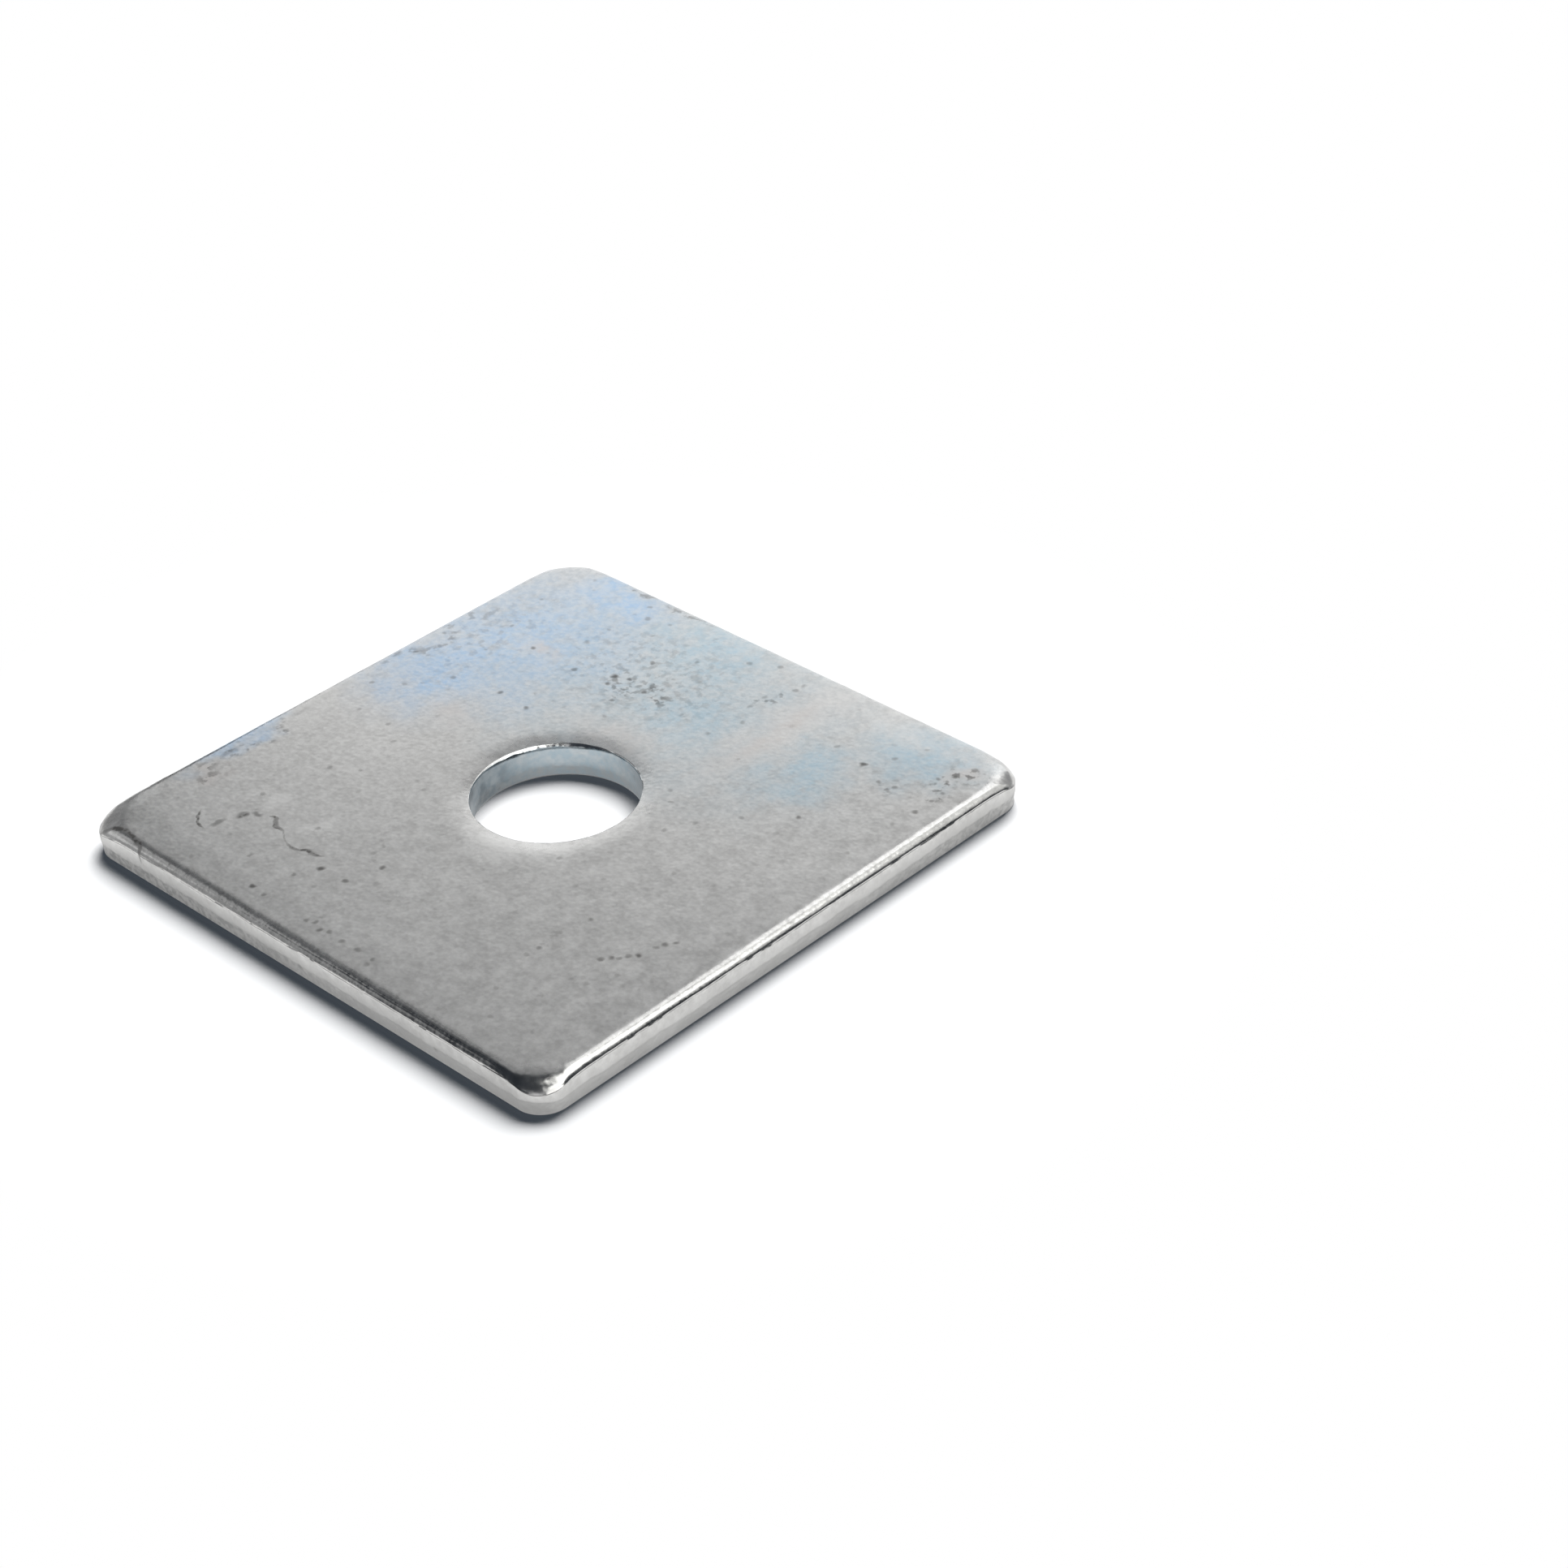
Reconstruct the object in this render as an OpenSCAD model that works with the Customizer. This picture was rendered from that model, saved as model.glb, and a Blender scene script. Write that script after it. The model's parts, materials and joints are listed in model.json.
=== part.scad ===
// Square plate washer: one blank pressed from sheet steel, with a punched bolt hole.
// The underside lies on z = 0 and the hole's axis is the Z axis. Lengths are in millimetres.

/* [Plate] */
// Length of the plate's sides
side = 50; // [30:1:80]
// Thickness of the sheet that the plate is pressed from
thickness = 3; // [2.5:0.1:6]
// Radius of the outline's corners, seen from above
corner_r = 2.4; // [1.4:0.1:5]

/* [Rolled upper rim] */
// Width of the rolled rim along the straight sides
side_roll_w = 1.0; // [0.75:0.05:1.2]
// Drop of the rolled rim where it meets a side wall
side_roll_drop = 0.7; // [0.4:0.05:0.95]
// Width of the rolled rim across a corner
corner_roll_w = 2.3; // [1.8:0.05:2.8]
// Drop of the rolled rim at the tip of a corner
corner_roll_drop = 1.2; // [0.9:0.05:1.5]

/* [Torn lower edge] */
// Height of the band that tore off below the sheared side wall
torn_h = 1.1; // [0.5:0.05:1.5]
// How far the torn band leans in towards the underside
torn_lean = 0.12; // [0.04:0.01:0.25]
// Width and height of the worn lower arris
worn_arris = 0.12; // [0.05:0.01:0.3]

/* [Bolt hole] */
// Diameter of the sheared hole wall, which clears an M12 bolt
hole_d = 13; // [8:0.5:24]
// Width of the rolled rim around the hole
hole_roll_w = 1.2; // [0.4:0.05:1.6]
// Drop of the hole's rolled rim where it meets the wall
hole_roll_drop = 0.3; // [0.15:0.05:0.6]
// Height of the torn band at the hole's lower end
hole_torn_h = 1.0; // [0.4:0.05:1.6]
// How far the hole's torn band opens towards the underside
hole_torn_lean = 0.1; // [0.04:0.01:0.25]

/* [Hidden] */
$fn = 128;

zinc_grey = [0.72, 0.74, 0.76];
half_side = side / 2;
hole_r = hole_d / 2;
// How far a cut runs on past the face that it opens
overcut = 1;

// Radius of an arc that leaves the upper face level, runs out by width and drops by drop
function roll_radius(width, drop) = (width * width + drop * drop) / (2 * drop);

// The flat upper face ends in an arc at each corner. It reaches along the diagonal to where the
// corner's roll starts, and its sides would pass just clear of where the side rolls start.
corner_clear = 0.2;
flat_half = half_side - side_roll_w + corner_clear;
flat_reach = sqrt(2) * (half_side - corner_r) + corner_r - corner_roll_w;
flat_corner_r = (sqrt(2) * flat_half - flat_reach) / (sqrt(2) - 1);
flat_corner = flat_half - flat_corner_r;

// Section of the blank's wall, outwards from the corner's centre: sheared above, torn and leaning in
// below, worn at the arris
module wall_section() {
    polygon([
        [0, 0],
        [corner_r - torn_lean - worn_arris, 0],
        [corner_r - torn_lean, worn_arris],
        [corner_r, torn_h],
        [corner_r, thickness],
        [0, thickness],
    ]);
}

// The blank with a sharp upper edge: the wall's section swept round the outline
module blank() {
    reach = half_side - corner_r;
    for (turn = [0:90:270])
        rotate(turn)
            translate([reach, reach, 0]) {
                rotate_extrude(angle = 90)
                    wall_section();
                rotate([90, 0, 0])
                    linear_extrude(2 * reach)
                        wall_section();
            }
    translate([-reach, -reach, 0])
        cube([2 * reach, 2 * reach, thickness]);
}

// Section of what a rolled edge lacks, where its arc leaves the upper face at x = start
module roll_offcut(start, width, drop) {
    radius = roll_radius(width, drop);
    translate([start, thickness - radius])
        difference() {
            square(radius + overcut);
            circle(radius);
        }
}

// What the die drew down round the upper rim, more at the corners than along the sides
module rim_offcuts() {
    for (turn = [0:90:270])
        rotate(turn) {
            rotate([90, 0, 0])
                linear_extrude(side + 2 * overcut, center = true)
                    roll_offcut(half_side - side_roll_w, side_roll_w, side_roll_drop);
            translate([flat_corner, flat_corner, 0])
                rotate_extrude(angle = 90)
                    roll_offcut(flat_corner_r, corner_roll_w, corner_roll_drop);
        }
}

// What the punch took out: the sheared wall, its rolled rim above and the torn band below
module punched_hole() {
    roll_r = roll_radius(hole_roll_w, hole_roll_drop);
    rim_r = hole_r + hole_roll_w;
    torn_r = hole_r + hole_torn_lean;
    rotate_extrude() {
        translate([0, -overcut])
            square([hole_r, thickness + 2 * overcut]);
        polygon([[0, -overcut], [torn_r, -overcut], [torn_r, 0], [hole_r, hole_torn_h], [0, hole_torn_h]]);
        difference() {
            translate([0, thickness - hole_roll_drop])
                square([rim_r, hole_roll_drop + overcut]);
            translate([rim_r, thickness - roll_r])
                circle(roll_r);
        }
    }
}

module square_washer() {
    color(zinc_grey)
        difference() {
            blank();
            rim_offcuts();
            punched_hole();
        }
}

square_washer();
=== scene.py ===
import json
import math

import bpy
from mathutils import Euler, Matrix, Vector, noise


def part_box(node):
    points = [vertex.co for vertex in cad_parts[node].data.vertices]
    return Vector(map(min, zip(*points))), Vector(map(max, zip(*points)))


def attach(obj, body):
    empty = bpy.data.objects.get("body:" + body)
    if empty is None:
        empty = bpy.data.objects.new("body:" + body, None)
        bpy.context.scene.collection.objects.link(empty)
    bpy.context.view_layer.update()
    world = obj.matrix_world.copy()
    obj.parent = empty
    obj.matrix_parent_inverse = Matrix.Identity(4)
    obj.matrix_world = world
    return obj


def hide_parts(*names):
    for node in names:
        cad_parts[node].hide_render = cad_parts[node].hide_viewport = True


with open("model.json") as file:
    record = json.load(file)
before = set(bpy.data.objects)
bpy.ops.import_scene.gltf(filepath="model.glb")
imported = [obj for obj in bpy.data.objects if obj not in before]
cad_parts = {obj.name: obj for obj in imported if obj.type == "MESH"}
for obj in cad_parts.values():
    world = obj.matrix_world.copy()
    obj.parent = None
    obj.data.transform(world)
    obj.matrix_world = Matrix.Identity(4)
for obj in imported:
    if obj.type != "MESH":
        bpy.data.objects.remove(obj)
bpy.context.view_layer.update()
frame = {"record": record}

scene = bpy.context.scene
scene.view_settings.view_transform = "Standard"
mm = 0.001

# sizes that the frame gives, in millimetres
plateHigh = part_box("square_washer")[1]
halfSide = plateHigh.x / mm
plateTop = plateHigh.z / mm
boltHole = next(mount for mount in frame["record"]["mounts"] if mount["name"] == "bolt_hole")
holeRadius = boltHole["dims"]["r_mm"]
landMiddle = boltHole["pos_m"][2] / mm
landLow = landMiddle - boltHole["dims"]["length_mm"] / 2  # foot of the hole's sheared land


# Camera

cameraView = {
    "spot": (164.3, -137.1, 147.3),  # mm
    "aim": (9.4, 14.68, 0.0),  # point on the floor in the middle of the picture
    "roll": -3.32,  # degrees, picture turned a little clockwise
    "lens": 79.19,  # on a 36 mm sensor
}


def setCamera(view):
    data = bpy.data.cameras.new("productCamera")
    data.lens = view["lens"]
    data.clip_start = 0.01
    camera = bpy.data.objects.new("productCamera", data)
    scene.collection.objects.link(camera)
    camera.location = Vector(view["spot"]) * mm
    look = (Vector(view["aim"]) - Vector(view["spot"])).to_track_quat("-Z", "Y")
    turn = Euler((0, 0, math.radians(view["roll"]))).to_quaternion()
    camera.rotation_mode = "QUATERNION"
    camera.rotation_quaternion = look @ turn
    scene.camera = camera
    print("camera set")


# Washer mesh: rings that run round the whole section, each with one point on every spoke

washerForm = {
    "cornerRadius": 2.4,  # all lengths in mm
    "sideRollWidth": 1.0,
    "sideRollDrop": 0.7,
    "cornerRollWidth": 2.3,
    "cornerRollDrop": 1.2,
    "tornHeight": 1.1,
    "tornLean": 0.12,
    "tornStep": 0.03,  # how far the torn band lies behind the sheared wall
    "wornArris": 0.12,
    "holeRollWidth": 2.4,  # the face sinks towards the hole, steeper and steeper
    "holeRollDrop": 0.16,
    "holeEdge": 0.2,  # broken edge between that roll and the hole's wall, which carries a painted glint
    "holeTornLean": 0.1,
    "rimSlopeWidth": 2.6,  # the face already falls a little before the rolled rim starts
    "rimSlopeDrop": 0.07,
    "creaseDepth": 0.035,  # fine fold where the rolled rim meets the wall
    "creaseHeight": 0.05,
    "creaseWander": 0.07,  # the fold's ups and downs
    "tornWander": 0.16,  # ups and downs of the sheared wall's lower edge
    "tornRoughness": 0.035,
    "shearRoughness": 0.006,
    "faceWaves": 0.02,
    "sideSteps": 178,  # spokes along a side
    "cornerSteps": 26,  # spokes round a corner
}


def squareReach(half, corner, direction):
    # distance from the middle to a rounded square's edge
    x = max(abs(direction.x), abs(direction.y))
    y = min(abs(direction.x), abs(direction.y))
    flat = half - corner
    if y * half <= x * flat:
        return half / x
    along = (x + y) * flat
    return along + math.sqrt(along * along - 2 * flat * flat + corner * corner)


def ripple(point, pitch, seed):
    # smooth noise from -1 to 1, with a bump about every pitch millimetres
    return noise.noise(Vector((point[0], point[1], point[2])) / pitch + Vector((seed, 2.3 * seed, 0.7)))


def smooth(value):
    value = min(max(value, 0.0), 1.0)
    return value * value * (3 - 2 * value)


def makeSpokes(form):
    # each spoke knows its direction, where the rim and the flat face end on it, and its own roll
    corner = form["cornerRadius"]
    straight = halfSide - corner
    flatHalf = halfSide - form["sideRollWidth"]
    flatReach = math.sqrt(2) * straight + corner - form["cornerRollWidth"]
    flatCorner = (math.sqrt(2) * flatHalf - flatReach) / (math.sqrt(2) - 1)
    spokes = []
    for quarter in range(4):
        turn = Euler((0, 0, math.radians(90 * quarter))).to_matrix()
        points = []
        for step in range(form["sideSteps"]):
            y = -straight + 2 * straight * step / form["sideSteps"]
            points.append((Vector((halfSide, y, 0)), Vector((1, 0, 0)), y + straight))
        for step in range(form["cornerSteps"]):
            angle = math.pi / 2 * step / form["cornerSteps"]
            normal = Vector((math.cos(angle), math.sin(angle), 0))
            place = Vector((straight, straight, 0)) + normal * corner
            points.append((place, normal, 2 * straight + corner * angle))
        for place, normal, along in points:
            place, normal = turn @ place, turn @ normal
            direction = place.normalized()
            flat = squareReach(flatHalf, flatCorner, direction)
            width = (place.length - flat) * normal.dot(direction)
            share = (width - form["sideRollWidth"]) / (form["cornerRollWidth"] - form["sideRollWidth"])
            drop = form["sideRollDrop"] + share * (form["cornerRollDrop"] - form["sideRollDrop"])
            drop += form["creaseWander"] * (ripple(place, 4.0, 1) + 0.5 * ripple(place, 0.9, 2))
            wander = ripple(place, 3.0, 3) + 0.6 * ripple(place, 0.8, 4)
            # the torn band's tint and the walls' painted shade are lighter on the front-right side
            litSide = smooth(0.5 + 0.8 * direction.x) * smooth(0.9 - 0.8 * direction.y)
            spokes.append({
                "direction": direction,
                "rim": place.length,
                "facing": normal.dot(direction),
                "flat": flat,
                "width": width,
                "drop": drop,
                "tornTop": form["tornHeight"] + form["tornWander"] * wander,
                "tornShade": 1 - 0.6 * litSide,
                # painted shade on the hole's wall, weaker towards its back
                "boreShade": 1 - 0.7 * smooth(1.2 * direction.y - 0.57 * direction.x - 0.33),
                "quarter": quarter,
                "along": along,
                "turn": math.atan2(direction.y, direction.x),
            })
    # both sides of the strip between a spoke and the next one, for the map
    first = spokes[0]["turn"]
    for spoke, beside in zip(spokes, spokes[1:] + spokes[:1]):
        sameWall = spoke["quarter"] == beside["quarter"]
        wallEnd = beside["along"] if sameWall else 2 * straight + corner * math.pi / 2
        holeStart = (spoke["turn"] - first) % (2 * math.pi)
        holeEnd = (beside["turn"] - first) % (2 * math.pi) or 2 * math.pi
        spoke["wallSpan"] = (spoke["along"], wallEnd)
        spoke["holeSpan"] = (holeStart * holeRadius, holeEnd * holeRadius)
    return spokes


def rollDrop(width, drop, share):
    # an arc that leaves the face level and has dropped by drop at its outer end
    radius = (width * width + drop * drop) / (2 * drop)
    return radius - math.sqrt(radius * radius - (width * share) ** 2)


def makeRings(form):
    # one function for each ring: spoke -> (reach, height, zone values)
    rings = []
    lean, arris = form["tornLean"], form["wornArris"]
    holeFoot = holeRadius + form["holeTornLean"]
    sinkStart = holeRadius + form["holeRollWidth"]
    sinkEnd = plateTop - form["holeRollDrop"]
    slopeWidth, slopeDrop = form["rimSlopeWidth"], form["rimSlopeDrop"]

    def addRing(island, place, **zones):
        rings.append((island, place, zones))

    def holeEdge(spoke):
        # broader where the punch leaned
        leaning = 0.56 * spoke["direction"].y - 0.83 * spoke["direction"].x
        return form["holeEdge"] * (0.15 + 0.85 * smooth(2.9 * leaning - 1.75))

    def landFoot(edge):
        # the hole's torn band starts at a wandering line
        spot = (edge.x, edge.y, 7.0)
        return landLow + 0.14 * (ripple(spot, 2.4, 17) + 0.5 * ripple(spot, 0.7, 18))

    # underside, from the hole out to the arris
    for share in (0.0, 0.006, 0.02, 0.08, 0.25, 0.5, 0.75, 0.92, 0.98, 0.994, 1.0):
        def under(spoke, share=share):
            foot = spoke["rim"] - (lean + arris) / spoke["facing"]
            return holeFoot + (foot - holeFoot) * share, 0.0
        addRing("under", under)

    # worn arris
    for step in range(1, 5):
        angle = math.pi / 8 * step
        def wornEdge(spoke, angle=angle):
            inset = lean + arris * (1 - math.sin(angle))
            return spoke["rim"] - inset / spoke["facing"], arris * (1 - math.cos(angle))
        addRing("wall", wornEdge, torn=1.0)

    # torn band, rough and leaning in
    tornRings = 11
    for step in range(1, tornRings + 1):
        def tornBand(spoke, share=step / tornRings):
            z = arris + (spoke["tornTop"] - arris) * share
            edge = spoke["direction"] * spoke["rim"]
            spot = (edge.x, edge.y, 1.6 * z)
            rough = 0.7 * ripple(spot, 0.55, 5) + 0.5 * ripple(spot, 0.25, 6) + 0.6 * ripple(spot, 1.6, 7)
            inset = lean * (1 - share) + form["tornStep"] + form["tornRoughness"] * rough * (1 - share ** 6)
            return spoke["rim"] - max(inset, 0.0) / spoke["facing"], z
        addRing("wall", tornBand, torn=1.0)

    # sheared wall, faintly streaked, up to the fold, with painted shade that grows towards its bottom
    shearRings = 8
    for step in range(shearRings + 1):
        def shearedWall(spoke, share=step / shearRings):
            start = spoke["tornTop"] + 0.05
            z = start + (plateTop - spoke["drop"] - form["creaseHeight"] - start) * share
            edge = spoke["direction"] * spoke["rim"]
            streak = ripple((edge.x, edge.y, 0.2 * z), 0.5, 8) + ripple((edge.x, edge.y, 0.1 * z), 1.9, 9)
            return spoke["rim"] - form["shearRoughness"] * (1 + streak), z
        addRing("wall", shearedWall, torn=0.6 * (1 - step / shearRings))

    # fold between the wall and the rolled rim, with painted shade in it
    for lift, depth, depthShare in ((-0.35, 0.6, 0.7), (0.0, 1.0, 1.0), (0.3, 0.5, 0.7)):
        def fold(spoke, lift=lift, depth=depth):
            edge = spoke["direction"] * spoke["rim"]
            broken = smooth(0.6 + 0.9 * ripple((edge.x, edge.y, 5.0), 1.3, 10))
            z = plateTop - spoke["drop"] + lift * form["creaseHeight"]
            return spoke["rim"] - form["creaseDepth"] * depth * broken, z
        addRing("wall" if lift < 0 else "top", fold, fold=depthShare, roll=0.6)

    # rolled rim, from the fold up to the flat face
    rollRings = 15
    for step in range(rollRings):
        def rolledRim(spoke, share=step / rollRings):
            width, drop = spoke["width"], spoke["drop"]
            radius = (width * width + drop * drop) / (2 * drop)
            steepest = math.asin(min(width / radius, 1.0))
            out = math.sin(steepest * (0.985 - 0.985 * share)) / math.sin(steepest)
            reach = spoke["flat"] + (spoke["rim"] - spoke["flat"]) * out
            edge = spoke["direction"] * reach
            spot = (edge.x, edge.y, 9.0)
            dent = 0.01 * (ripple(spot, 2.2, 11) + 0.8 * ripple(spot, 0.6, 12))
            ease = 2 * slopeDrop / slopeWidth * width * out * (1 - out) ** 2
            slope = ease + slopeDrop * (1 - smooth(out))
            return reach, plateTop - slope - rollDrop(width, drop, out) + dent * (1 - abs(2 * out - 1))
        addRing("top", rolledRim, roll=1.0 - 0.9 * smooth((step - 7) / 8))

    # flat face, with the faint waves of pressed sheet
    faceRings = 34
    for step in range(faceRings + 1):
        def flatFace(spoke, share=step / faceRings):
            pull = share ** 1.35 - 0.1 * math.sin(2 * math.pi * share) / (2 * math.pi)
            reach = spoke["flat"] + (sinkStart - spoke["flat"]) * pull
            edge = spoke["direction"] * reach
            fade = smooth(share * 6) * smooth((1 - share) * 6)
            wave = ripple((edge.x, edge.y, 0.0), 13.0, 13) + 0.35 * ripple((edge.x, edge.y, 0.0), 5.0, 14)
            inside = min((spoke["flat"] - reach) * spoke["facing"] / slopeWidth, 1.0)
            return reach, plateTop - slopeDrop * (1 - inside) ** 2 - form["faceWaves"] * fade * (0.6 + wave)
        addRing("top", flatFace, roll=0.1 * (1 - smooth(step / 2)))

    # rolled rim of the hole
    holeRollRings = 14
    for step in range(1, holeRollRings + 1):
        def holeRoll(spoke, share=step / holeRollRings):
            inwards = 1 - (1 - share) ** 1.3
            reach = sinkStart + (holeRadius + 0.9 * holeEdge(spoke) - sinkStart) * inwards
            edge = spoke["direction"] * reach
            nick = 0.02 * share ** 6 * ripple((edge.x, edge.y, 3.0), 0.8, 15)
            return reach, plateTop + (sinkEnd - plateTop) * inwards ** 2.6 + nick
        addRing("top", holeRoll, roll=0.5 * step / holeRollRings)

    # hole wall: broken edge with a painted glint, sheared land, torn band
    for share in (0.15, 0.5, 0.85, 1.0):
        def brokenEdge(spoke, share=share):
            edge = spoke["direction"] * holeRadius
            spot = (edge.x, edge.y, 4.0)
            tilt = 0.45 * ripple(spot, 0.9, 16) + 0.35 * ripple(spot, 0.4, 22)
            reach = holeRadius + 0.9 * holeEdge(spoke) * (1 - share)
            return reach, sinkEnd - holeEdge(spoke) * share * (1 + tilt)
        # the broken edge's zone is a painted glint, strongest at its top
        addRing("bore", brokenEdge, roll=0.7, bore=0.6 * share ** 4, bright=1.0 - share ** 4)
    landRings = 6
    for step in range(1, landRings + 1):
        def holeLand(spoke, share=step / landRings):
            edge = spoke["direction"] * holeRadius
            low = landFoot(edge)
            top = sinkEnd - 1.7 * holeEdge(spoke)
            streak = form["shearRoughness"] * ripple((edge.x, edge.y, 0.15 * share), 0.45, 19)
            return holeRadius + streak, top + (low - top) * share
        addRing("bore", holeLand, torn=0.15 if step == landRings else 0.0, bore=1.0)
    holeTornRings = 7
    for step in range(1, holeTornRings):
        def holeTorn(spoke, share=step / holeTornRings):
            edge = spoke["direction"] * holeRadius
            low = landFoot(edge)
            z = low * (1 - share)
            spot = (edge.x, edge.y, 1.6 * z)
            rough = 0.7 * ripple(spot, 0.5, 20) + 0.5 * ripple(spot, 0.25, 21)
            out = form["holeTornLean"] * share + 0.03 * rough * (1 - share ** 4)
            return holeRadius + max(out, 0.0), z
        addRing("bore", holeTorn, torn=0.35, bore=1.0)
    return rings


# the bore zone carries the painted shade on the hole's wall, the broken edge's zone a painted glint, and
# the torn zone the torn band's tint with painted shade
zoneNames = ("torn", "fold", "roll", "bore", "bright")
tintNames = ("pale", "cyanAndSheen", "blueAndSheen", "warm", "crumbs")


def tintLevel(places, x, y):
    # soft ovals, full in the middle and 0 outside, laid over each other
    level = 0.0
    for middle, size, strength in places:
        away = math.hypot((x - middle[0]) / size[0], (y - middle[1]) / size[1])
        level = max(level, strength * smooth(1.1 - 1.1 * away))
    return level


skinMap = {  # where each part of the skin lies on its map: corner, then map lengths for a millimetre
    "top": {"corner": (0.005, 0.005), "across": 0.0139, "up": 0.0139},
    "under": {"corner": (0.71, 0.005), "across": 0.0056, "up": 0.0056},
    "wall": {"corner": (0.005, 0.715), "across": 0.0139, "up": 0.0205},
    "bore": {"corner": (0.005, 0.922), "across": 0.0139, "up": 0.0195},
}
wallPitch = 0.05  # from one wall's strip to the next


def mapPoint(island, spoke, side, point):
    # side is 0 on the spoke and 1 on the next one
    part = skinMap[island]
    if island == "top":
        across, up = halfSide + point.x / mm, halfSide + point.y / mm
    elif island == "under":
        across, up = halfSide - point.x / mm, halfSide + point.y / mm
    elif island == "wall":
        across, up = spoke["wallSpan"][side], point.z / mm
    else:
        across, up = spoke["holeSpan"][side], point.z / mm
    low = part["corner"][1] + (wallPitch * spoke["quarter"] if island == "wall" else 0.0)
    return part["corner"][0] + across * part["across"], low + up * part["up"]


def makeWasher(form, tints):
    spokes = makeSpokes(form)
    rings = makeRings(form)
    count = len(spokes)
    points = []
    zones = {name: [] for name in zoneNames + tintNames}
    for island, place, ringZones in rings:
        for spoke in spokes:
            reach, height = place(spoke)
            x, y = spoke["direction"].x * reach, spoke["direction"].y * reach
            points.append(Vector((x, y, height)) * mm)
            swayX = x + 1.6 * ripple((x, y, 0.0), 2.6, 31) + 0.6 * ripple((x, y, 0.0), 1.0, 32)
            swayY = y + 1.6 * ripple((x, y, 0.0), 2.6, 33) + 0.6 * ripple((x, y, 0.0), 1.0, 34)
            for name in tintNames:
                level = 0.0
                if island == "top":
                    level = tintLevel(tints[name], swayX, swayY)
                elif island == "bore" and name == "cyanAndSheen":
                    level = 0.9  # the hole's wall has the cyan tint all round
                zones[name].append(level)
            for name in zoneNames:
                shade = 1.0
                if name == "torn" and island == "wall":
                    shade = spoke["tornShade"]
                elif name == "bore":
                    shade = spoke["boreShade"]
                zones[name].append(shade * ringZones.get(name, 0.0))
    faces = []
    mapped = []
    for ring in range(len(rings)):
        island = rings[ring][0]
        above = (ring + 1) % len(rings)
        for number, spoke in enumerate(spokes):
            beside = (number + 1) % count
            low, high = ring * count, above * count
            face = (low + number, low + beside, high + beside, high + number)
            faces.append(face)
            for side, corner in zip((0, 1, 1, 0), face):
                mapped.extend(mapPoint(island, spoke, side, points[corner]))
    mesh = bpy.data.meshes.new("squarePlateWasher")
    mesh.from_pydata(points, [], faces)
    mesh.update()
    for name in zoneNames + tintNames:
        layer = mesh.attributes.new(name, "FLOAT", "POINT")
        layer.data.foreach_set("value", zones[name])
    mesh.uv_layers.new(name="OFBake").data.foreach_set("uv", mapped)
    mesh.shade_smooth()
    washer = bpy.data.objects.new("squarePlateWasher", mesh)
    washer.visible_diffuse = False  # the metal throws no light on the table
    scene.collection.objects.link(washer)
    print("washer mesh:", len(points), "points,", 2 * len(faces), "triangles")
    return washer


# Node helpers

def feed(tree, value, socket):
    if isinstance(value, bpy.types.NodeSocket):
        tree.links.new(value, socket)
    else:
        socket.default_value = value


def addNode(tree, kind, sockets, **settings):
    node = tree.nodes.new("ShaderNode" + kind)
    for name, value in settings.items():
        setattr(node, name, value)
    for key, value in sockets.items():
        feed(tree, value, node.inputs[key])
    return node


def calc(tree, operation, first, second=0.0, clamp=False):
    return addNode(tree, "Math", {0: first, 1: second}, operation=operation, use_clamp=clamp).outputs[0]


def ramp(tree, value, low, high, start=0.0, end=1.0):
    # eases from start to end as the value goes from low to high
    sockets = {0: value, 1: low, 2: high, 3: start, 4: end}
    return addNode(tree, "MapRange", sockets, interpolation_type="SMOOTHSTEP").outputs[0]


def cloud(tree, spot, pitch, detail=2.0):
    # soft noise from 0 to 1, with a patch about every pitch millimetres
    sockets = {"Vector": spot, "Scale": 1 / pitch, "Detail": detail, "Roughness": 0.55}
    return addNode(tree, "TexNoise", sockets).outputs["Fac"]


def tint(tree, factor, first, second):
    return addNode(tree, "Mix", {0: factor, 6: first, 7: second}, data_type="RGBA").outputs[2]


def zone(tree, name):
    return addNode(tree, "Attribute", {}, attribute_name=name).outputs["Fac"]


def curveOf(tree, value, points):
    node = addNode(tree, "FloatCurve", {"Value": value})
    line = node.mapping.curves[0]
    line.points[0].location = points[0]
    line.points[1].location = points[-1]
    for point in points[1:-1]:
        line.points.new(*point)
    node.mapping.update()
    return node.outputs[0]


def patches(tree, spot, places):
    # soft ovals, 1 in the middle and 0 outside, laid over each other
    total = None
    for middle, size, strength in places:
        scale = (1 / size[0], 1 / size[1], 0.15)
        shift = (-middle[0] / size[0], -middle[1] / size[1], -0.15 * plateTop)
        place = addNode(tree, "VectorMath", {0: spot, 1: scale, 2: shift}, operation="MULTIPLY_ADD")
        away = addNode(tree, "VectorMath", {0: place.outputs[0]}, operation="LENGTH").outputs["Value"]
        one = ramp(tree, away, 0.25, 1.0, strength, 0.0)
        total = one if total is None else calc(tree, "MAXIMUM", total, one)
    return total


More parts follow.
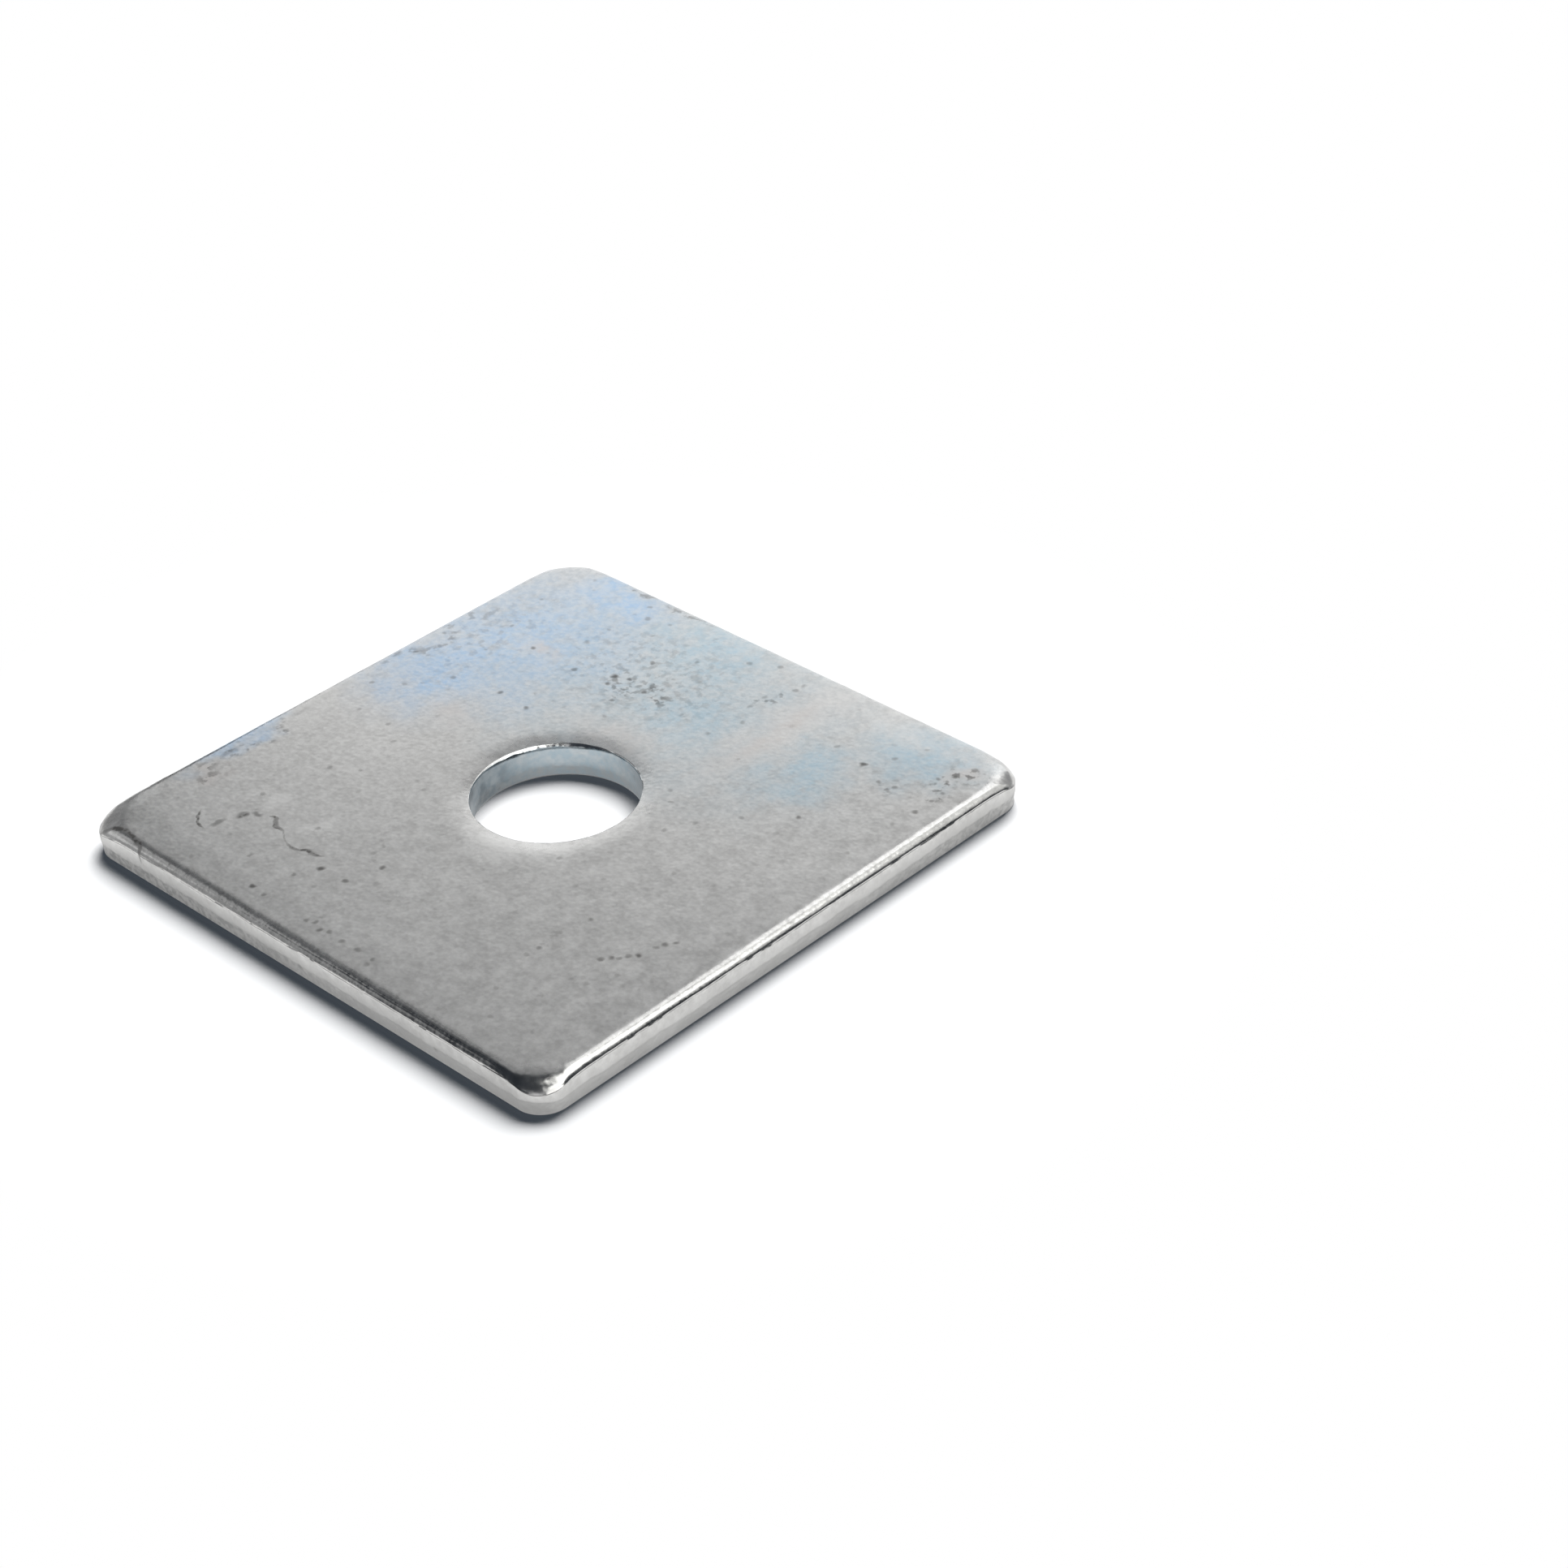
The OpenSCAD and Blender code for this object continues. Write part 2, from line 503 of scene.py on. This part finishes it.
def stroke(tree, spot, points, width):
    # a line through (x, y, boldness) points: its sway and its boldness follow curves along its length
    start, end = Vector(points[0][:2]), Vector(points[-1][:2])
    axis = end - start
    length = axis.length
    ahead = axis / length
    aside = Vector((-ahead.y, ahead.x))
    sway, bold = [], []
    for x, y, boldness in points:
        step = Vector((x, y)) - start
        sway.append((step.dot(ahead) / length, 0.5 + step.dot(aside) / length))
        bold.append((step.dot(ahead) / length, boldness))
    sockets = {
        "Vector": spot,
        "Location": (start.x, start.y, 0),
        "Rotation": (0, 0, math.atan2(ahead.y, ahead.x)),
        "Scale": (length, length, length),
    }
    place = addNode(tree, "Mapping", sockets, vector_type="TEXTURE")
    parts = addNode(tree, "SeparateXYZ", {0: place.outputs[0]})
    offset = calc(tree, "SUBTRACT", curveOf(tree, parts.outputs[0], sway), 0.5)
    gap = calc(tree, "ABSOLUTE", calc(tree, "SUBTRACT", parts.outputs[1], offset))
    boldness = curveOf(tree, parts.outputs[0], bold)
    reach = calc(tree, "MULTIPLY", boldness, width / length)
    inside = calc(tree, "DIVIDE", gap, calc(tree, "MAXIMUM", reach, 0.0001))
    return calc(tree, "MULTIPLY", ramp(tree, inside, 0.3, 1.0, 1.0, 0.0), ramp(tree, boldness, 0.02, 0.6))


# Zinc plating

zincFinish = {
    "zinc": (0.515, 0.51, 0.498, 1),
    "paleZinc": (0.735, 0.73, 0.715, 1),
    # near-white colour of the hole's broken edge: a painted glint
    "brightZinc": (0.9, 0.9, 0.89, 1),
    # blue and cyan: partly the plating's film, partly a painted reflection of bluish light
    "blueFilmAndSheen": (0.36, 0.555, 0.79, 1),
    "cyanFilmAndSheen": (0.435, 0.59, 0.685, 1),
    # dark colour on the hole's wall: painted shade
    "paintedBoreShade": (0.16, 0.19, 0.21, 1),
    "warmFilm": (0.66, 0.625, 0.6, 1),
    # colour of soil, specks and marks, also used for the painted shade at the left corner
    "soilAndShade": (0.13, 0.125, 0.12, 1),
    # dull colour of the torn band, darkened further as painted shade of the lower walls
    "tornZinc": (0.36, 0.36, 0.355, 1),
    # near-black colour in the fold: painted shade
    "paintedFoldShade": (0.06, 0.058, 0.055, 1),
    "tints": {  # middle, size, strength
        "pale": [
            # painted reflection: pale strip along the left rim
            ((-23.8, -20.0), (1.1, 3.0), 0.9),
            ((-10.2, -14.4), (1.2, 1.2), 0.7),
            ((-15.2, -14.2), (1.0, 1.2), 0.6),
            ((-16.9, -14.3), (1.0, 0.9), 0.6),
            ((1.0, -7.6), (5.0, 2.0), 0.6),
            ((5.0, -5.8), (2.8, 2.4), 0.55),
            ((7.5, 17.0), (3.5, 9.5), 0.4),
            ((16.0, 22.5), (6.0, 2.2), 0.4),
        ],
        # the cyan and blue places lie on the back half: partly film, partly a painted reflection of bluish
        # light
        "cyanAndSheen": [
            ((17.8, 21.0), (7.5, 6.5), 1.0),
            ((0.5, 13.5), (9.5, 8.5), 0.9),
            ((12.3, 13.5), (6.0, 8.0), 0.9),
            ((-5.0, 21.0), (12.0, 7.5), 1.0),
            ((-4.0, 15.0), (28.0, 18.0), 0.6),
        ],
        "blueAndSheen": [
            ((-17.5, 13.0), (13.0, 16.0), 0.8),
            ((-16.0, 22.0), (8.0, 4.5), 1.0),
            ((-19.5, 6.0), (8.5, 10.0), 1.0),
            # painted reflection: bluish bright strip along the left rim
            ((-24.0, -11.5), (1.9, 6.5), 1.0),
        ],
        "warm": [
            ((7.3, 16.5), (3.2, 11.5), 0.8),
            ((-15.4, 12.4), (2.8, 1.7), 0.8),
            ((-13.5, 2.0), (3.6, 2.6), 0.6),
            ((-21.8, -15.3), (2.2, 1.8), 0.7),
            ((-2.0, 8.0), (7.5, 3.0), 0.6),
            ((21.6, 20.8), (1.8, 1.8), 0.7),
        ],
        "crumbs": [
            ((-7.0, 13.8), (4.4, 3.1), 0.7),
            ((-3.2, 13.9), (2.9, 1.9), 0.9),
            ((-4.8, 22.2), (1.6, 1.2), 0.5),
            ((3.6, 18.9), (1.2, 1.0), 0.8),
            ((21.6, 19.6), (2.3, 4.0), 1.0),
            ((22.4, 17.2), (1.3, 2.9), 1.0),
            ((18.4, 17.0), (1.8, 1.8), 0.7),
            ((13.6, -13.0), (1.4, 2.9), 0.6),
            ((-22.0, -15.0), (1.8, 1.8), 0.7),
            ((-15.5, -24.6), (2.4, 0.8), 1.0),
            ((-23.2, 8.0), (1.0, 13.0), 0.5),
            ((-22.9, -10.0), (0.8, 6.0), 0.8),
            ((-24.2, 24.1), (1.7, 1.7), 0.8),
            ((-13.0, 24.5), (10.0, 0.8), 0.6),
            ((-6.0, 15.5), (14.0, 9.0), 0.3),
            ((-20.0, 12.0), (5.0, 12.0), 0.25),
        ],
    },
    "cornerShadeAndSoil": [
        # painted shade: dark patch over the left corner's rolled tip
        ((-24.9, -24.6), (2.6, 2.2), 0.8),
        ((-24.6, -18.2), (0.4, 1.3), 0.9),
        ((-23.3, -12.4), (0.5, 1.3), 0.55),
        ((-24.8, 2.0), (0.6, 24.0), 0.5),
        ((-16.4, -19.0), (0.44, 0.85), 0.95),
        ((-15.8, -17.2), (0.5, 0.7), 0.95),
        ((-15.0, -16.45), (0.75, 0.42), 1.0),
    ],
    "spots": [  # radius and darkness, then the places
        (0.43, 0.95, [
            (-8.1, 13.9), (15.4, 17.25), (21.7, 20.5), (-8.05, -22.5), (-5.9, -17.85), (19.4, -10.2),
        ]),
        (0.36, 0.75, [
            (-3.35, -17.7), (-2.55, -14.85), (-0.2, -22.75), (17.6, -12.2), (18.1, -11.65), (19.9, -8.15),
            (20.4, -7.5), (-7.7, 12.9), (-4.6, 13.8), (-6.9, 14.4), (16.4, 9.1), (22.45, 15.2),
        ]),
        (0.33, 0.6, [
            (-6.9, -19.6), (-6.6, -22.65), (-1.9, -22.6), (-1.2, -22.35), (0.6, -22.5), (2.1, -22.6),
            (3.7, -22.55), (5.4, -22.6), (18.6, -11.3), (18.95, -10.7), (19.7, -8.8), (13.75, -9.5),
            (13.4, -14.1), (-11.3, 12.6), (-16.2, 12.7), (-5.8, 11.5), (-13.4, 6.6), (-10.1, 6.3),
            (-7.2, 17.2), (-23.1, 6.4), (17.8, 16.3), (19.2, 16.5), (21.0, 19.4), (22.4, 18.2),
            (22.5, 16.9),
        ]),
    ],
    "strokes": [  # width, then (x, y, boldness) points
        (0.36, [
            (-18.8, -18.7, 0.0), (-18.5, -19.2, 0.45), (-18.2, -19.6, 0.55), (-17.7, -19.9, 0.5),
            (-17.2, -20.1, 0.5), (-16.8, -20.15, 0.3), (-16.4, -20.2, 0.0),
        ]),
        (0.36, [
            (-14.2, -16.0, 0.0), (-13.6, -15.9, 0.7), (-13.1, -16.2, 0.8), (-12.7, -16.5, 0.75),
            (-12.0, -16.55, 0.45), (-11.4, -16.9, 0.25), (-10.4, -17.4, 0.35), (-9.8, -17.6, 0.5),
            (-9.2, -17.45, 0.8), (-8.4, -17.05, 0.75), (-7.5, -17.1, 0.7), (-7.0, -16.7, 0.3),
            (-6.3, -16.2, 0.0),
        ]),
        (0.34, [
            (-23.4, -25.0, 0.0), (-22.8, -24.6, 1.0), (-21.9, -24.2, 0.95), (-20.5, -24.1, 0.7),
            (-19.5, -24.3, 0.9), (-18.6, -24.7, 0.8), (-18.2, -25.1, 0.0),
        ]),
    ],
    "roughFace": 0.32,
    "roughRoll": 0.2,
    "roughTorn": 0.5,
    "grainDepth": 0.008,  # mm
    "tornDepth": 5.0,  # the torn band's relief, in grain depths
}


def makeZinc(finish):
    material = bpy.data.materials.new("zincPlate")
    material.use_nodes = True
    tree = material.node_tree
    tree.nodes.clear()
    coords = addNode(tree, "TexCoord", {})
    sockets = {0: coords.outputs["Object"], "Scale": 1 / mm}
    spot = addNode(tree, "VectorMath", sockets, operation="SCALE").outputs[0]
    stirred = addNode(tree, "TexNoise", {"Vector": spot, "Scale": 1.2, "Detail": 1.0})
    sockets = {0: stirred.outputs["Color"], 1: (0.5, 0.5, 0.5)}
    shaken = addNode(tree, "VectorMath", sockets, operation="SUBTRACT")
    sockets = {0: shaken.outputs[0], 1: (0.5, 0.5, 0.0), 2: spot}
    tight = addNode(tree, "VectorMath", sockets, operation="MULTIPLY_ADD").outputs[0]
    height = addNode(tree, "SeparateXYZ", {0: spot}).outputs[2]
    upper = ramp(tree, height, plateTop - 1.5, plateTop - 1.0)

    torn, fold, roll, bore, bright = (zone(tree, name) for name in zoneNames)
    pale, cyanAndSheen, blueAndSheen, warm, crumbs = (zone(tree, name) for name in tintNames)

    # grain and clouds of the plating
    grain = cloud(tree, spot, 0.45, 3.0)
    mottle = cloud(tree, spot, 1.6, 3.0)
    clouds = cloud(tree, spot, 7.0, 1.0)
    paleness = calc(tree, "MULTIPLY", ramp(tree, grain, 0.3, 0.7), 0.5)
    paleness = calc(tree, "ADD", paleness, ramp(tree, clouds, 0.3, 0.7, 0.0, 0.15))
    paleness = calc(tree, "ADD", paleness, ramp(tree, mottle, 0.3, 0.7, 0.0, 0.35))
    paleness = calc(tree, "ADD", paleness, pale, True)
    colour = tint(tree, paleness, finish["zinc"], finish["paleZinc"])

    # blue and cyan tint, partly the plating's film and partly a painted reflection of bluish light, and the
    # warm places beside it
    tintGrain = ramp(tree, paleness, 0.0, 1.0, 0.0, 0.45)
    broken = ramp(tree, mottle, 0.32, 0.62, 0.42, 1.0)
    cyanAndSheen = calc(tree, "MULTIPLY", cyanAndSheen, broken)
    colour = tint(tree, cyanAndSheen, colour, tint(tree, tintGrain, finish["cyanFilmAndSheen"], finish["paleZinc"]))
    blueAndSheen = calc(tree, "MULTIPLY", blueAndSheen, broken)
    blueAndSheen = calc(tree, "MULTIPLY", blueAndSheen, ramp(tree, clouds, 0.3, 0.6, 0.75, 1.0))
    colour = tint(tree, blueAndSheen, colour, tint(tree, tintGrain, finish["blueFilmAndSheen"], finish["paleZinc"]))
    # painted shade on the hole's wall, broken up by the mottle
    boreShading = calc(tree, "MULTIPLY", bore, ramp(tree, mottle, 0.3, 0.65, 0.65, 1.0))
    colour = tint(tree, boreShading, colour, finish["paintedBoreShade"])
    # painted glint on the hole's broken edge
    colour = tint(tree, bright, colour, finish["brightZinc"])
    colour = tint(tree, calc(tree, "MULTIPLY", warm, broken), colour, finish["warmFilm"])

    # pin specks all over, more of them at the back, and crumbs of soil in some places
    cells = addNode(tree, "TexVoronoi", {"Vector": tight, "Scale": 0.9, "Randomness": 1.0})
    chosen = addNode(tree, "SeparateColor", {0: cells.outputs["Color"]}).outputs[0]
    pins = ramp(tree, cells.outputs["Distance"], 0.08, 0.3, 0.4, 0.0)
    pins = calc(tree, "MULTIPLY", pins, ramp(tree, chosen, 0.7, 0.95))
    thick = calc(tree, "MULTIPLY_ADD", crumbs, 0.03)  # they lie closer where there are many
    feed(tree, cloud(tree, spot, 0.7, 2.0), thick.node.inputs[2])
    crumb = ramp(tree, thick, 0.5, 0.66)
    clusters = calc(tree, "MULTIPLY", crumbs, crumb)
    soilingAndShade = calc(tree, "MAXIMUM", pins, calc(tree, "MULTIPLY", clusters, 0.85))

    # single spots, soiled places with a painted shade at the left corner, and hairline marks
    for radius, darkness, places in finish["spots"]:
        nearest = None
        for x, y in places:
            sockets = {0: tight, 1: (x, y, plateTop)}
            gap = addNode(tree, "VectorMath", sockets, operation="DISTANCE").outputs["Value"]
            nearest = gap if nearest is None else calc(tree, "MINIMUM", nearest, gap)
        soilingAndShade = calc(tree, "MAXIMUM", soilingAndShade, ramp(tree, nearest, 0.2 * radius, radius, darkness, 0.0))
    # soiled places, and the painted shade at the left corner
    marks = patches(tree, tight, finish["cornerShadeAndSoil"])
    for width, points in finish["strokes"]:
        marks = calc(tree, "MAXIMUM", marks, stroke(tree, tight, points, width))
    marks = calc(tree, "MULTIPLY", marks, ramp(tree, crumb, 0.0, 0.5, 0.6, 1.0))
    marks = calc(tree, "MULTIPLY", marks, upper)
    soilingAndShade = calc(tree, "MAXIMUM", soilingAndShade, marks, True)
    colour = tint(tree, calc(tree, "MULTIPLY", soilingAndShade, 0.85), colour, finish["soilAndShade"])

    # torn band, its dull tint with painted shade on the lower walls, and painted shade in the fold
    tornShade = calc(tree, "MULTIPLY", torn, ramp(tree, grain, 0.35, 0.62, 0.25, 1.0))
    colour = tint(tree, tornShade, colour, finish["tornZinc"])
    # painted shade in the fold
    foldShade = calc(tree, "MULTIPLY", fold, ramp(tree, mottle, 0.4, 0.6, 0.1, 0.95))
    colour = tint(tree, foldShade, colour, finish["paintedFoldShade"])

    # roughness: satin face, burnished roll, dull torn band
    rough = calc(tree, "MULTIPLY_ADD", roll, finish["roughRoll"] - finish["roughFace"])
    rough.node.inputs[2].default_value = finish["roughFace"]
    rough = calc(tree, "ADD", rough, ramp(tree, mottle, 0.3, 0.7, -0.03, 0.03))
    tornGain = finish["roughTorn"] - finish["roughFace"]
    rough = calc(tree, "ADD", rough, calc(tree, "MULTIPLY", torn, tornGain))
    rough = calc(tree, "ADD", rough, calc(tree, "MULTIPLY", soilingAndShade, 0.25))
    rough = calc(tree, "ADD", rough, calc(tree, "MULTIPLY", blueAndSheen, -0.03), True)

    # grain as fine relief, coarser on the torn band
    depth = calc(tree, "MULTIPLY_ADD", torn, finish["tornDepth"])
    depth.node.inputs[2].default_value = 1.0
    depth = calc(tree, "MULTIPLY", cloud(tree, spot, 0.32, 0.0), depth)
    sockets = {"Height": depth, "Strength": 1.0, "Distance": finish["grainDepth"] * mm}
    relief = addNode(tree, "Bump", sockets)

    shader = addNode(tree, "BsdfPrincipled", {
        "Base Color": colour,
        "Metallic": 1.0,
        "Roughness": rough,
        "Normal": relief.outputs[0],
    })
    addNode(tree, "OutputMaterial", {"Surface": shader.outputs[0]})
    print("zinc finish:", len(tree.nodes), "nodes")
    return material


# White table

tableForm = {
    "size": 6000.0,  # mm
    "drop": 0.01,  # the table lies this far under the washer, so that no faces meet
    "colour": (0.93, 0.93, 0.93, 1),
    "shadowReach": (39.0, 54.0),  # the lit table turns to plain white between these distances
    "mirrored": 0.55,  # how much of it is plain white when the metal mirrors it
}


def makeTable(form):
    half = form["size"] / 2 * mm
    level = -form["drop"] * mm
    mesh = bpy.data.meshes.new("whiteTable")
    corners = [(-half, -half, level), (half, -half, level), (half, half, level), (-half, half, level)]
    mesh.from_pydata(corners, [], [(0, 1, 2, 3)])
    table = bpy.data.objects.new("whiteTable", mesh)
    scene.collection.objects.link(table)
    material = bpy.data.materials.new("whiteTable")
    material.use_nodes = True
    tree = material.node_tree
    tree.nodes.clear()
    coords = addNode(tree, "TexCoord", {})
    away = addNode(tree, "VectorMath", {0: coords.outputs["Object"]}, operation="LENGTH").outputs["Value"]
    far = ramp(tree, away, form["shadowReach"][0] * mm, form["shadowReach"][1] * mm)
    rays = addNode(tree, "LightPath", {})
    mirrored = calc(tree, "MAXIMUM", rays.outputs["Is Glossy Ray"], rays.outputs["Is Transmission Ray"])
    white = calc(tree, "MULTIPLY", mirrored, calc(tree, "MAXIMUM", far, form["mirrored"]))
    white = calc(tree, "MAXIMUM", white, calc(tree, "MULTIPLY", rays.outputs["Is Camera Ray"], far))
    lit = addNode(tree, "BsdfDiffuse", {"Color": form["colour"]})
    plain = addNode(tree, "Emission", {"Color": (1, 1, 1, 1), "Strength": 1.0})
    mixed = addNode(tree, "MixShader", {0: white, 1: lit.outputs[0], 2: plain.outputs[0]})
    addNode(tree, "OutputMaterial", {"Surface": mixed.outputs[0]})
    mesh.materials.append(material)
    print("white table laid")
    return table


# Studio: places are (right, away, up) from the washer as the camera sees it, in mm

studio = {
    "room": (0.022, 0.027, 0.035, 1),
    "lamps": {  # where it stands, its width and height, how bright it is, its colour if not white
        "backCard": {"place": (26, 150, 50), "size": (192, 100), "level": 1.0},
        "leftCard": {"place": (-110, 120, 45), "size": (90, 90), "level": 0.3},
        "rightCard": {"place": (190, 150, 50), "size": (160, 100), "level": 0.35},
        "backSky": {"place": (0, 330, 330), "size": (280, 240), "level": 0.38},
        "backRight": {"place": (260, 290, 320), "size": (260, 260), "level": 0.7},
        "highSky": {"place": (0, 130, 390), "size": (420, 200), "level": 0.28},
        "leftSky": {"place": (-176, 197, 323), "size": (300, 240), "level": 0.09},
        "cornerCard": {"place": (-116, 34, 62), "size": (64, 64), "level": 0.4},
        "rightSky": {"place": (144, 168, 321), "size": (160, 240), "level": 1.0},
        "rightPanel": {
            "place": (310, 50, 240), "size": (300, 280), "level": 0.85,
            "colour": (1.0, 1.0, 0.98),
        },
        "frontRight": {
            "place": (180, -101, 331), "size": (315, 315), "level": 1.8,
            "colour": (1.0, 1.0, 0.98),
        },
        "frontLow": {
            "place": (115, -260, 265), "size": (190, 120), "level": 1.8,
            "colour": (1.0, 1.0, 0.98),
        },
        "frontCard": {"place": (0, -200, 65), "size": (320, 110), "level": 0.6},
        "leftCardLow": {"place": (-230, 45, 60), "size": (160, 120), "level": 0.35},
        "tableLamp": {"place": (150, 390, 640), "size": (470, 470), "level": 13.3},
        "tableSky": {
            "place": (60, 260, 600), "size": (700, 700), "level": 0.13,
            "colour": (0.7, 0.86, 1.0),
        },
    },
    "tableOnly": ("tableLamp", "tableSky"),  # they whiten the table; the others light the washer
}


def lightStudio(setup, washer, table):
    groups = {}
    for name, piece in (("washerOnly", washer), ("tableOnly", table)):
        groups[name] = bpy.data.collections.new(name)
        groups[name].objects.link(piece)
    view = Vector(cameraView["aim"]) - Vector(cameraView["spot"])
    away = Vector((view.x, view.y, 0)).normalized()
    right = Vector((away.y, -away.x, 0))
    for name, lamp in setup["lamps"].items():
        across, back, up = lamp["place"]
        width, height = (length * mm for length in lamp["size"])
        data = bpy.data.lights.new(name, "AREA")
        data.shape = "RECTANGLE"
        data.size, data.size_y = width, height
        data.energy = lamp["level"] * math.pi * width * height
        data.color = lamp.get("colour", (1, 1, 1))
        panel = bpy.data.objects.new(name, data)
        scene.collection.objects.link(panel)
        panel.location = (right * across + away * back + Vector((0, 0, up))) * mm
        panel.rotation_mode = "QUATERNION"
        panel.rotation_quaternion = (-panel.location).to_track_quat("-Z", "Y")
        panel.visible_camera = False
        reached = "tableOnly" if name in setup["tableOnly"] else "washerOnly"
        panel.light_linking.receiver_collection = groups[reached]
    world = bpy.data.worlds.new("studioRoom")
    scene.world = world
    world.use_nodes = True
    tree = world.node_tree
    tree.nodes.clear()
    rays = addNode(tree, "LightPath", {})
    room = addNode(tree, "Background", {"Color": setup["room"], "Strength": 1.0})
    white = addNode(tree, "Background", {"Color": (1, 1, 1, 1), "Strength": 1.0})
    sockets = {0: rays.outputs["Is Camera Ray"], 1: room.outputs[0], 2: white.outputs[0]}
    mixed = addNode(tree, "MixShader", sockets)
    addNode(tree, "OutputWorld", {"Surface": mixed.outputs[0]})
    print("studio lit by", len(setup["lamps"]), "panels")


setCamera(cameraView)
washer = makeWasher(washerForm, zincFinish["tints"])
washer.data.materials.append(makeZinc(zincFinish))
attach(washer, "root")
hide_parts("square_washer")
table = makeTable(tableForm)
lightStudio(studio, washer, table)

bpy.context.view_layer.update()
